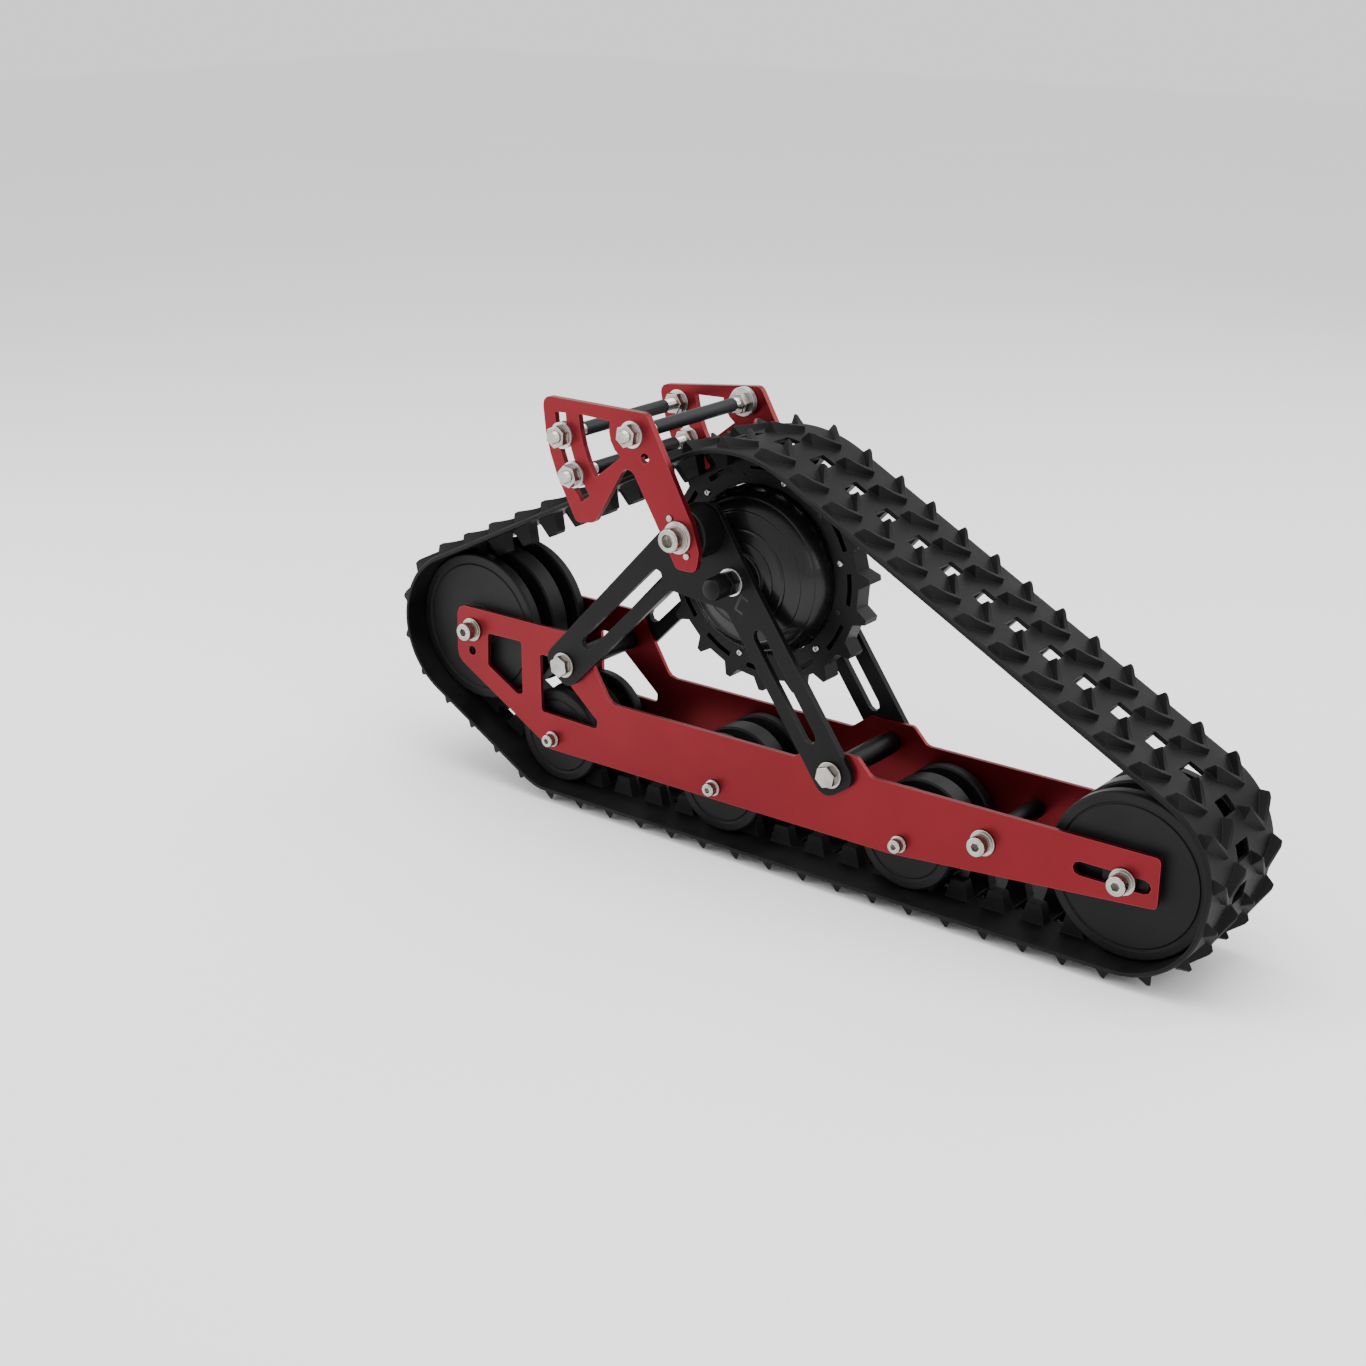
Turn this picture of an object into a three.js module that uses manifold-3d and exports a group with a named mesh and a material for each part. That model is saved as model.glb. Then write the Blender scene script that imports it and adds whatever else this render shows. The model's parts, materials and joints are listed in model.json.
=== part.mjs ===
// Rubber-belt track drive unit for a snow bike.
// Millimetres. +X rearward, +Y to the far side, +Z up, ground at Z = 0.
// Side names: "near" is -Y, "far" is +Y.

import * as THREE from 'three';
import { mergeVertices } from 'three/addons/utils/BufferGeometryUtils.js';
import Module from 'manifold-3d';

const wasm = await Module();
wasm.setup();

// ---------------------------------------------------------------- driving dimensions

const RUNNING_GAP = 0.4;          // clearance left between any two pieces
const BELT_GAP = 0.9;             // clearance between belt and wheel rims
const SIDES = [['near', -1], ['far', 1]];

// Axle centres in the side view, [x, z].
const HUB = [-35, 273];
const FRONT_IDLER = [-363, 157];
const REAR_IDLER = [364, 91];
const ROAD_WHEELS = [[-258, 64], [-58, 64], [148, 64]];
const REAR_TUBE = [232, 89];
const MIDDLE_TUBE = [77, 114];
const FRONT_TUBE = [-236, 149];
const PIVOT = [-70, 316];

// Belt.
const BELT_WIDTH = 126;
const BELT_SKIN = 4.5;
const CLEAT_HEIGHT = 10.6;
const BELT_PITCH = 38;
const LUG_HEIGHT = 18;
const LUG_Y = 19.5;
const LUG_WIDTH = 13;
const REAR_SHOULDER_LIFT = 14;     // stiff belt stands off the rear idler's upper quarter
const WINDOW_LENGTH = 15;
const WINDOW_WIDTH = 22;

// Drive sprocket. The belt stands still, so the teeth stop short of its skin and turn
// clear of it at every angle.
const TEETH = 19;
const TOOTH_TIP = 117.6;
const TOOTH_ROOT = 106;
const SPROCKET_WIDTH = 19;
const FIRST_TOOTH_ANGLE = 5.3;
const SKIN_INNER_AT_SPROCKET = 118.7;

// Wheels.
const IDLER_RADIUS = 76;
const REAR_IDLER_RADIUS = 75;
const ROAD_WHEEL_RADIUS = 48;
const MIDDLE_DISC_HALF = 11;
const OUTER_DISC_FROM = 27.5;
const OUTER_DISC_TO = 39.5;
const DISC_BOSS_TO = 44.4;

// Side plates, struts and mount plates, given as distances from the mid-plane.
const SIDE_PLATE = { inner: 45.4, outer: 49.4 };
const STRUT = { inner: 49.8, outer: 55.8 };
const MOUNT_PLATE = { inner: 83.2, outer: 89.2 };

// Fasteners.
const LARGE_SCREW = { head: 9, headLength: 12, washer: 12, shank: 6 };
const SMALL_SCREW = { head: 6.5, headLength: 8, washer: 8, shank: 4 };
const HEX_BOLT = { head: 10.8, headLength: 7.5, washer: 12.5, shank: 6 };
const WASHER_THICKNESS = 2;
const THREAD_DEPTH = 12;

// ---------------------------------------------------------------- finishes

function finish(name, color, roughness, metalness) {
  return new THREE.MeshStandardMaterial({ name, color, roughness, metalness });
}

const RED = finish('red_anodised', 0x8f1d22, 0.45, 0.6);
const BLACK_METAL = finish('black_coated_metal', 0x17181a, 0.5, 0.4);
const MOTOR_BLACK = finish('motor_black', 0x0e0e10, 0.3, 0.5);
const STAINLESS = finish('stainless', 0xb9b6b0, 0.28, 1.0);
const RUBBER = finish('belt_rubber', 0x232426, 0.85, 0.0);
const WHEEL_PLASTIC = finish('wheel_plastic', 0x1c1d1f, 0.6, 0.0);
const SLEEVE = finish('rod_sleeve', 0x2b2e33, 0.7, 0.0);

// ---------------------------------------------------------------- shape helpers

const assembly = new THREE.Group();
assembly.name = 'track_drive_unit';

function add(name, geometry, material) {
  const mesh = new THREE.Mesh(geometry, material);
  mesh.name = name;
  assembly.add(mesh);
  return mesh;
}

// Polygon with rounded corners. Each corner is [x, z] or [x, z, radius].
function roundedOutline(corners, radius = 0, steps = 2) {
  const points = [];
  const count = corners.length;
  corners.forEach((corner, i) => {
    const here = new THREE.Vector2(corner[0], corner[1]);
    const r = corner[2] ?? radius;
    if (r === 0) {
      points.push(here);
      return;
    }
    const before = corners[(i + count - 1) % count];
    const after = corners[(i + 1) % count];
    const toBefore = new THREE.Vector2(before[0], before[1]).sub(here).normalize();
    const toAfter = new THREE.Vector2(after[0], after[1]).sub(here).normalize();
    const half = Math.acos(THREE.MathUtils.clamp(toBefore.dot(toAfter), -1, 1)) / 2;
    const bisector = toBefore.clone().add(toAfter).normalize();
    const centre = here.clone().addScaledVector(bisector, r / Math.sin(half));
    const start = here.clone().addScaledVector(toBefore, r / Math.tan(half)).sub(centre);
    const end = here.clone().addScaledVector(toAfter, r / Math.tan(half)).sub(centre);
    const from = start.angle();
    let sweep = end.angle() - from;
    if (sweep > Math.PI) sweep -= 2 * Math.PI;
    if (sweep < -Math.PI) sweep += 2 * Math.PI;
    for (let s = 0; s <= steps; s += 1) {
      const angle = from + (sweep * s) / steps;
      points.push(new THREE.Vector2(Math.cos(angle), Math.sin(angle)).multiplyScalar(r).add(centre));
    }
  });
  return points;
}

function circleOutline([x, z], radius, steps = 8) {
  const points = [];
  for (let s = 0; s < steps; s += 1) {
    const angle = (2 * Math.PI * s) / steps;
    points.push(new THREE.Vector2(x + radius * Math.cos(angle), z + radius * Math.sin(angle)));
  }
  return points;
}

// Points on an arc from one angle to another, in degrees.
function arcPoints([x, z], radius, fromDegrees, toDegrees, steps) {
  const points = [];
  for (let s = 0; s <= steps; s += 1) {
    const angle = THREE.MathUtils.degToRad(fromDegrees + ((toDegrees - fromDegrees) * s) / steps);
    points.push(new THREE.Vector2(x + radius * Math.cos(angle), z + radius * Math.sin(angle)));
  }
  return points;
}

// Round-ended slot between two centres.
function slotOutline(a, b, halfWidth, steps = 4) {
  const heading = THREE.MathUtils.radToDeg(Math.atan2(b[1] - a[1], b[0] - a[0]));
  return [
    ...arcPoints(b, halfWidth, heading - 90, heading + 90, steps),
    ...arcPoints(a, halfWidth, heading + 90, heading + 270, steps),
  ];
}

// Flat plate in the side view, from yLow to yHigh.
function sheet(outline, holes, yLow, yHigh) {
  const shape = new THREE.Shape(outline);
  holes.forEach((hole) => shape.holes.push(new THREE.Path(hole)));
  const geometry = new THREE.ExtrudeGeometry(shape, { depth: yHigh - yLow, bevelEnabled: false });
  geometry.rotateX(Math.PI / 2);
  geometry.translate(0, yHigh, 0);
  return geometry;
}

// The same plate on either side of the mid-plane.
function sideSheet(outline, holes, span, side) {
  return side < 0
    ? sheet(outline, holes, -span.outer, -span.inner)
    : sheet(outline, holes, span.inner, span.outer);
}

// Turned piece about a Y axis through [x, z]. The profile lists [radius, distance
// from the mid-plane] in rising distance; side = -1 mirrors it to the near side.
function turned(profile, [x, z], side, segments) {
  const points = profile.map(([r, y]) => new THREE.Vector2(r, y * side));
  if (side < 0) points.reverse();
  const geometry = new THREE.LatheGeometry(points, segments);
  geometry.translate(x, 0, z);
  return geometry;
}

// Closed geometry as a solid that can be joined and cut.
function toSolid(geometry) {
  const bare = geometry.clone();
  bare.deleteAttribute('normal');
  bare.deleteAttribute('uv');
  const merged = mergeVertices(bare);
  return new wasm.Manifold(new wasm.Mesh({
    numProp: 3,
    vertProperties: merged.attributes.position.array,
    triVerts: Uint32Array.from(merged.index.array),
  }));
}

function fromSolid(solid) {
  const { vertProperties, triVerts, numProp } = solid.getMesh();
  const positions = [];
  for (let i = 0; i < vertProperties.length; i += numProp) {
    positions.push(vertProperties[i], vertProperties[i + 1], vertProperties[i + 2]);
  }
  const indexed = new THREE.BufferGeometry();
  indexed.setAttribute('position', new THREE.Float32BufferAttribute(positions, 3));
  indexed.setIndex(Array.from(triVerts));
  const geometry = indexed.toNonIndexed();
  geometry.computeVertexNormals();
  return geometry;
}

// ---------------------------------------------------------------- belt route

// Circles the middle of the belt skin runs round, starting at the hub and going
// rearward along the top, then forward along the ground.
const HALF_SKIN = BELT_SKIN / 2;
const HUB_RUN = SKIN_INNER_AT_SPROCKET + HALF_SKIN;
const REAR_SHOULDER = [REAR_IDLER[0] + 2, REAR_IDLER[1] + REAR_SHOULDER_LIFT];
const ROUTE = [
  { centre: HUB, radius: HUB_RUN },
  { centre: REAR_SHOULDER, radius: REAR_IDLER_RADIUS + BELT_GAP + HALF_SKIN },
  { centre: REAR_IDLER, radius: REAR_IDLER_RADIUS + BELT_GAP + HALF_SKIN },
  { centre: ROAD_WHEELS[0], radius: ROAD_WHEEL_RADIUS + BELT_GAP + HALF_SKIN },
  { centre: FRONT_IDLER, radius: IDLER_RADIUS + BELT_GAP + HALF_SKIN },
];

// Outward direction of the straight run that leaves circle a and reaches circle b.
function runNormalAngle(a, b) {
  const dx = b.centre[0] - a.centre[0];
  const dz = b.centre[1] - a.centre[1];
  const distance = Math.hypot(dx, dz);
  return Math.atan2(dz, dx) + Math.acos((a.radius - b.radius) / distance);
}

// The route as pieces, each able to give a point and outward normal at a length.
function routePieces() {
  const pieces = [];
  const normals = ROUTE.map((circle, i) => runNormalAngle(circle, ROUTE[(i + 1) % ROUTE.length]));
  ROUTE.forEach((circle, i) => {
    const arriving = normals[(i + ROUTE.length - 1) % ROUTE.length];
    const leaving = normals[i];
    const wrap = (((arriving - leaving) % (2 * Math.PI)) + 2 * Math.PI) % (2 * Math.PI);
    pieces.push({
      length: wrap * circle.radius,
      at: (s) => {
        const angle = arriving - s / circle.radius;
        return {
          x: circle.centre[0] + circle.radius * Math.cos(angle),
          z: circle.centre[1] + circle.radius * Math.sin(angle),
          angle,
        };
      },
    });
    const next = ROUTE[(i + 1) % ROUTE.length];
    const start = [
      circle.centre[0] + circle.radius * Math.cos(leaving),
      circle.centre[1] + circle.radius * Math.sin(leaving),
    ];
    const end = [
      next.centre[0] + next.radius * Math.cos(leaving),
      next.centre[1] + next.radius * Math.sin(leaving),
    ];
    const length = Math.hypot(end[0] - start[0], end[1] - start[1]);
    pieces.push({
      length,
      at: (s) => ({
        x: start[0] + ((end[0] - start[0]) * s) / length,
        z: start[1] + ((end[1] - start[1]) * s) / length,
        angle: leaving,
      }),
    });
  });
  return pieces;
}

const PIECES = routePieces();
const LOOP_LENGTH = PIECES.reduce((sum, piece) => sum + piece.length, 0);

function routeAt(length) {
  let s = ((length % LOOP_LENGTH) + LOOP_LENGTH) % LOOP_LENGTH;
  for (const piece of PIECES) {
    if (s <= piece.length) return piece.at(s);
    s -= piece.length;
  }
  return PIECES[0].at(0);
}

// Belt stations: one window, two cleats and two lugs each. Stations on and next to
// the sprocket follow its teeth; the rest share the remaining length evenly.
function stationLengths() {
  const toothStep = (2 * Math.PI) / TEETH;
  const arriving = PIECES[0].at(0).angle;
  const first = THREE.MathUtils.degToRad(FIRST_TOOTH_ANGLE);
  const teethOnBelt = 5;
  const startTooth = Math.floor((arriving - first) / toothStep) + 1;
  const lengths = [];
  for (let k = 0; k < teethOnBelt; k += 1) {
    const angle = first + (startTooth - k) * toothStep;
    lengths.push((arriving - angle) * HUB_RUN);
  }
  const last = lengths[lengths.length - 1];
  const remaining = LOOP_LENGTH - (last - lengths[0]);
  const count = Math.round(remaining / BELT_PITCH);
  for (let k = 1; k < count; k += 1) {
    lengths.push(last + (remaining * k) / count);
  }
  return lengths;
}

const STATIONS = stationLengths();

// ---------------------------------------------------------------- belt

// Bends a geometry made with X along the belt, Y across and Z outward onto the route.
function atStation(geometry, length) {
  const bent = geometry.clone();
  const position = bent.attributes.position;
  for (let i = 0; i < position.count; i += 1) {
    const { x, z, angle } = routeAt(length + position.getX(i));
    const y = position.getY(i);
    const height = position.getZ(i);
    position.setXYZ(i, x + height * Math.cos(angle), y, z + height * Math.sin(angle));
  }
  return bent;
}

// Shrinks the end of a geometry that lies at height z, about the Z axis.
function taperEnd(geometry, z, scaleX, scaleY) {
  const position = geometry.attributes.position;
  for (let i = 0; i < position.count; i += 1) {
    if (Math.abs(position.getZ(i) - z) < 0.001) {
      position.setXY(i, position.getX(i) * scaleX, position.getY(i) * scaleY);
    }
  }
  return geometry;
}

// Chevron cleat: one V with its point rearward on the upper run. Its outer end is
// a little shorter across than its foot.
const CLEAT = {
  centreY: 36, halfSpan: 22, reach: 19, barLength: 9, baseSink: 2, ahead: 26, taper: 0.8,
};

function chevronCleat(centreY) {
  const { halfSpan, reach, barLength, baseSink, taper } = CLEAT;
  const corners = [
    [-reach, -halfSpan],
    [-reach + barLength, -halfSpan],
    [barLength, 0],
    [-reach + barLength, halfSpan],
    [-reach, halfSpan],
    [0, 0],
  ];
  const shape = new THREE.Shape(corners.map(([x, y]) => new THREE.Vector2(x, y)));
  const depth = CLEAT_HEIGHT + baseSink;
  const geometry = new THREE.ExtrudeGeometry(shape, { depth, bevelEnabled: false });
  taperEnd(geometry, depth, 1, taper);
  return geometry.translate(0, centreY, HALF_SKIN - baseSink);
}

// Driving lug inside the belt, wide at its root and narrow at its tip.
const LUG_ROOT_LENGTH = 24;
const LUG_TIP_LENGTH = 14;
const LUG_SINK = 1;

function lugBlock(centreY) {
  const height = LUG_HEIGHT + LUG_SINK;
  const geometry = new THREE.BoxGeometry(LUG_ROOT_LENGTH, LUG_WIDTH, height);
  taperEnd(geometry, -height / 2, LUG_TIP_LENGTH / LUG_ROOT_LENGTH, (LUG_WIDTH - 2) / LUG_WIDTH);
  return geometry.translate(0, centreY, -HALF_SKIN + LUG_SINK - height / 2);
}

const ARC_STEP = THREE.MathUtils.degToRad(12);

// Solid block inside the loop that lies `offset` outside the middle of the skin.
function loopBlock(offset, width) {
  const outline = [];
  PIECES.forEach((piece) => {
    const turn = Math.abs(piece.at(piece.length).angle - piece.at(0).angle);
    const steps = Math.max(1, Math.round(turn / ARC_STEP));
    for (let i = 0; i < steps; i += 1) {
      const { x, z, angle } = piece.at((piece.length * i) / steps);
      outline.push(new THREE.Vector2(x + offset * Math.cos(angle), z + offset * Math.sin(angle)));
    }
  });
  return toSolid(sheet(outline, [], -width / 2, width / 2));
}

function beltGeometry() {
  const cutMargin = 2;
  const windowDepth = 30;
  const skin = loopBlock(HALF_SKIN, BELT_WIDTH)
    .subtract(loopBlock(-HALF_SKIN, BELT_WIDTH + cutMargin));
  const cleats = [chevronCleat(-CLEAT.centreY), chevronCleat(CLEAT.centreY)];
  const lugs = [lugBlock(-LUG_Y), lugBlock(LUG_Y)];
  const windowBlock = new THREE.BoxGeometry(WINDOW_LENGTH, WINDOW_WIDTH, windowDepth);
  let belt = skin;
  STATIONS.forEach((station) => {
    cleats.forEach((cleat) => {
      belt = belt.add(toSolid(atStation(cleat, station + CLEAT.ahead)));
    });
    lugs.forEach((lug) => {
      belt = belt.add(toSolid(atStation(lug, station + BELT_PITCH / 2)));
    });
  });
  STATIONS.forEach((station) => {
    belt = belt.subtract(toSolid(atStation(windowBlock, station)));
  });
  return fromSolid(belt);
}

add('track_belt', beltGeometry(), RUBBER);

// ---------------------------------------------------------------- side plates

// Outline corners as [x, z, corner radius].
const SIDE_PLATE_OUTLINE = [
  [-383, 180, 10], [-384, 123, 14], [-262, 52, 8], [137, 51.5, 30], [396, 74, 4],
  [396, 120, 4], [116, 119, 8], [101, 134.5, 6], [54, 134.5, 6], [33, 118.5, 6],
  [-184, 118.5, 12], [-221, 180, 14],
];
const QUAD_WINDOW = [[-342, 157], [-297, 158], [-297, 102], [-304, 101], [-343, 123]];
const TRIANGLE_WINDOW = [[-273, 150], [-262, 150], [-200, 97], [-201, 88], [-207, 88], [-272, 90]];
const TENSION_SLOT = { front: [324, 91], rear: [383, 91], halfWidth: 6.4 };
const DRAIN_HOLE = [-364, 134];
const SCREW_CLEARANCE = 1;

function sidePlateHoles() {
  const large = LARGE_SCREW.shank + SCREW_CLEARANCE;
  const small = SMALL_SCREW.shank + SCREW_CLEARANCE;
  return [
    roundedOutline(QUAD_WINDOW, 3, 2),
    roundedOutline(TRIANGLE_WINDOW, 3, 2),
    slotOutline(TENSION_SLOT.front, TENSION_SLOT.rear, TENSION_SLOT.halfWidth),
    circleOutline(DRAIN_HOLE, 5),
    ...[FRONT_IDLER, REAR_TUBE, MIDDLE_TUBE, FRONT_TUBE].map((centre) => circleOutline(centre, large)),
    ...ROAD_WHEELS.map((centre) => circleOutline(centre, small)),
  ];
}

SIDES.forEach(([label, side]) => {
  const outline = roundedOutline(SIDE_PLATE_OUTLINE);
  add(`side_plate_${label}`, sideSheet(outline, sidePlateHoles(), SIDE_PLATE, side), RED);
});

// ---------------------------------------------------------------- wheels

// Ring between two distances from the mid-plane, with an optional raised boss.
function discProfile(radius, bore, from, to, boss) {
  const profile = [[bore, from], [radius, from], [radius, to]];
  if (boss) profile.push([boss, to], [boss, DISC_BOSS_TO]);
  profile.push([bore, boss ? DISC_BOSS_TO : to], [bore, from]);
  return profile;
}

function shaft(radius, from, to) {
  return [[0, from], [radius, from], [radius, to], [0, to]];
}

function addWheelSet(name, centre, radius, axleRadius, boss, segments) {
  const bore = axleRadius + RUNNING_GAP;
  SIDES.forEach(([label, side]) => {
    const profile = discProfile(radius, bore, OUTER_DISC_FROM, OUTER_DISC_TO, boss);
    add(`${name}_disc_${label}`, turned(profile, centre, side, segments), WHEEL_PLASTIC);
  });
  const middle = discProfile(radius, bore, -MIDDLE_DISC_HALF, MIDDLE_DISC_HALF, 0);
  add(`${name}_disc_middle`, turned(middle, centre, 1, segments), WHEEL_PLASTIC);
}

const IDLER_AXLE_RADIUS = 10;
const ROAD_AXLE_RADIUS = 7;
const IDLER_BOSS = 22;

addWheelSet('front_idler', FRONT_IDLER, IDLER_RADIUS, IDLER_AXLE_RADIUS, IDLER_BOSS, 24);
addWheelSet('rear_idler', REAR_IDLER, REAR_IDLER_RADIUS, IDLER_AXLE_RADIUS, IDLER_BOSS, 24);
ROAD_WHEELS.forEach((centre, i) => {
  addWheelSet(`road_wheel_${i + 1}`, centre, ROAD_WHEEL_RADIUS, ROAD_AXLE_RADIUS, 0, 16);
});

// ---------------------------------------------------------------- axles, tubes, screws

const INSIDE_PLATES = SIDE_PLATE.inner - RUNNING_GAP;

// Axle or tube between the plates, with a blind threaded hole in each end.
function crossBar(radius, hole) {
  const depth = INSIDE_PLATES - THREAD_DEPTH - RUNNING_GAP;
  return [
    [0, -depth], [hole, -depth], [hole, -INSIDE_PLATES], [radius, -INSIDE_PLATES],
    [radius, INSIDE_PLATES], [hole, INSIDE_PLATES], [hole, depth], [0, depth],
  ];
}

// Screw with its washer. `seat` is the face the washer rests on.
function screwProfile(size, seat) {
  const washerFrom = seat + RUNNING_GAP;
  const washerTo = washerFrom + WASHER_THICKNESS;
  const top = washerTo + size.headLength;
  return [
    [0, INSIDE_PLATES - THREAD_DEPTH], [size.shank, INSIDE_PLATES - THREAD_DEPTH],
    [size.shank, washerFrom], [size.washer, washerFrom], [size.washer, washerTo],
    [size.head, washerTo], [size.head, top], [0, top],
  ];
}

function addBar(name, centre, radius, size, seat, screwSegments) {
  const bar = crossBar(radius, size.shank + SCREW_CLEARANCE);
  add(name, turned(bar, centre, 1, 8), BLACK_METAL);
  SIDES.forEach(([label, side]) => {
    const screw = turned(screwProfile(size, seat), centre, side, screwSegments);
    add(`${name}_screw_${label}`, screw, STAINLESS);
  });
}

const ROUND_HEAD = 8;
const HEX_HEAD = 6;
const ON_PLATE = SIDE_PLATE.outer;
const ON_STRUT = STRUT.outer;

addBar('front_idler_axle', FRONT_IDLER, IDLER_AXLE_RADIUS, LARGE_SCREW, ON_PLATE, ROUND_HEAD);
addBar('rear_idler_axle', REAR_IDLER, IDLER_AXLE_RADIUS, LARGE_SCREW, ON_PLATE, ROUND_HEAD);
ROAD_WHEELS.forEach((centre, i) => {
  addBar(`road_axle_${i + 1}`, centre, ROAD_AXLE_RADIUS, SMALL_SCREW, ON_PLATE, ROUND_HEAD);
});
addBar('rear_cross_tube', REAR_TUBE, 9, LARGE_SCREW, ON_PLATE, ROUND_HEAD);
addBar('middle_cross_tube', MIDDLE_TUBE, 11, HEX_BOLT, ON_STRUT, HEX_HEAD);
addBar('front_cross_tube', FRONT_TUBE, 11, HEX_BOLT, ON_STRUT, HEX_HEAD);

// ---------------------------------------------------------------- V struts

const STRUT_HALF_WIDTH = 21;
const STRUT_AXLE_HOLE = 8.4;
const STRUT_PIVOT_HOLE = 12.8;

// Point beside the line from a to b: `along` mm from a, `across` mm to the left.
function beside(a, b, along, across) {
  const heading = Math.atan2(b[1] - a[1], b[0] - a[0]);
  return [
    a[0] + along * Math.cos(heading) - across * Math.sin(heading),
    a[1] + along * Math.sin(heading) + across * Math.cos(heading),
  ];
}

function strutOutline() {
  const w = STRUT_HALF_WIDTH;
  const frontArm = (along, across) => beside(FRONT_TUBE, PIVOT, along, across);
  const rearArm = (along, across) => beside(MIDDLE_TUBE, HUB, along, across);
  const rearLength = Math.hypot(MIDDLE_TUBE[0] - HUB[0], MIDDLE_TUBE[1] - HUB[1]);
  return roundedOutline([
    [...frontArm(-17, w), 14], [...frontArm(-17, -w), 14], [...frontArm(165, -w), 6],
    [...rearArm(rearLength - 20, w), 12], [...rearArm(-18, w), 14], [...rearArm(-18, -w), 14],
    [...rearArm(rearLength - 6, -w), 30], [PIVOT[0] + 15, PIVOT[1] + 27, 14],
    [...frontArm(238, w + 6), 20],
  ], 0, 4);
}

const FRONT_ARM_SLOT = [[-207, 177], [-121, 262]];
const REAR_ARM_SLOT = [[-4, 227], [54, 144]];
const ARM_SLOT_HALF_WIDTH = 6.4;

SIDES.forEach(([label, side]) => {
  const boltHole = HEX_BOLT.shank + SCREW_CLEARANCE;
  const holes = [
    slotOutline(...FRONT_ARM_SLOT, ARM_SLOT_HALF_WIDTH),
    slotOutline(...REAR_ARM_SLOT, ARM_SLOT_HALF_WIDTH),
    circleOutline(FRONT_TUBE, boltHole),
    circleOutline(MIDDLE_TUBE, boltHole),
    circleOutline(HUB, STRUT_AXLE_HOLE),
    circleOutline(PIVOT, STRUT_PIVOT_HOLE, 20),
  ];
  add(`v_strut_${label}`, sideSheet(strutOutline(), holes, STRUT, side), BLACK_METAL);
});

// ---------------------------------------------------------------- hub motor and sprocket

const MOTOR_AXLE_RADIUS = 7;
const HUB_SHELL_RADIUS = 80;

// Stepped dome, the same on both sides, from the mid-plane outwards.
const HUB_DOME = [
  [HUB_SHELL_RADIUS, 14], [72, 28], [62, 36], [45, 40], [25, 43], [25, 46.5],
  [MOTOR_AXLE_RADIUS + RUNNING_GAP, 46.5],
];

function hubShellProfile() {
  const farHalf = HUB_DOME;
  const nearHalf = HUB_DOME.map(([r, y]) => [r, -y]).reverse();
  return [...nearHalf, ...farHalf, nearHalf[0]];
}

add('hub_motor_shell', turned(hubShellProfile(), HUB, 1, 24), MOTOR_BLACK);

const TOOTH_ROOT_LENGTH = 16;
const TOOTH_TIP_LENGTH = 5;

function sprocketOutline() {
  const points = [];
  const half = (length, radius) => THREE.MathUtils.radToDeg(length / 2 / radius);
  for (let k = 0; k < TEETH; k += 1) {
    const angle = FIRST_TOOTH_ANGLE + (360 * k) / TEETH;
    const root = half(TOOTH_ROOT_LENGTH, TOOTH_ROOT);
    const tip = half(TOOTH_TIP_LENGTH, TOOTH_TIP);
    points.push(...arcPoints(HUB, TOOTH_ROOT, angle - root, angle - root, 1).slice(0, 1));
    points.push(...arcPoints(HUB, TOOTH_TIP, angle - tip, angle + tip, 1));
    points.push(...arcPoints(HUB, TOOTH_ROOT, angle + root, angle + root, 1).slice(0, 1));
  }
  return points;
}

// Curved slots between the sprocket's screw holes.
const RIM_SLOTS = { count: 12, inner: 94, outer: 99, halfAngle: 9, firstScrewAngle: 14.7 };
const SPROCKET_BORE_GAP = 1.2;

function sprocketHoles() {
  const { count, inner, outer, halfAngle, firstScrewAngle } = RIM_SLOTS;
  const holes = [circleOutline(HUB, HUB_SHELL_RADIUS + SPROCKET_BORE_GAP, 24)];
  for (let k = 0; k < count; k += 1) {
    const middleAngle = firstScrewAngle + (360 / count) * (k + 0.5);
    holes.push([
      ...arcPoints(HUB, outer, middleAngle - halfAngle, middleAngle + halfAngle, 2),
      ...arcPoints(HUB, inner, middleAngle + halfAngle, middleAngle - halfAngle, 2),
    ]);
  }
  return holes;
}

const SPROCKET_HALF = SPROCKET_WIDTH / 2;
add('drive_sprocket', sheet(sprocketOutline(), sprocketHoles(), -SPROCKET_HALF, SPROCKET_HALF),
  BLACK_METAL);

const AXLE_END = 72;
add('motor_axle', turned(shaft(MOTOR_AXLE_RADIUS, -AXLE_END, AXLE_END), HUB, 1, 12), STAINLESS);

// Washer, nut and round cap over each end of the motor axle.
const AXLE_CAP = { washer: 13, washerLength: 2.5, nut: 11, nutTo: 86, tip: 8, tipTo: 89 };

function axleCapProfile() {
  const { washer, washerLength, nut, nutTo, tip, tipTo } = AXLE_CAP;
  const bore = MOTOR_AXLE_RADIUS + RUNNING_GAP;
  const washerFrom = STRUT.outer + RUNNING_GAP;
  return [
    [bore, washerFrom], [washer, washerFrom], [washer, washerFrom + washerLength],
    [nut, washerFrom + washerLength], [nut, nutTo], [tip, tipTo], [0, tipTo],
    [0, AXLE_END + RUNNING_GAP],
    [bore, AXLE_END + RUNNING_GAP], [bore, washerFrom],
  ];
}

SIDES.forEach(([label, side]) => {
  add(`axle_nut_${label}`, turned(axleCapProfile(), HUB, side, 12), BLACK_METAL);
});

// ---------------------------------------------------------------- mount plates

const SWEEP_CENTRE = [-62, 420];   // centre of the arc slot and of the front edge
const SLOT_RADIUS = 145;
const EDGE_RADIUS = 165;
const WINDOW_EDGE_RADIUS = 123;
const TOP_ROD = [-122, 402];
const SLOT_RODS = [[-204, 389], [-191, 354]];
const SPARE_HOLE = [-108, 382];
const PIN_OFFSET = 18.5;

// Top corner heights, and the angles at which the front edge, the arc slot and the
// window stop. The far plate is lower at its front and its slot ends lower.
const TOP_EDGE = {
  near: { front: 423, rear: 423, edgeTop: 183, slotTop: 184, windowTop: 162 },
  far: { front: 404, rear: 418, edgeTop: 188, slotTop: 189.5, windowTop: 182 },
};

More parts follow.
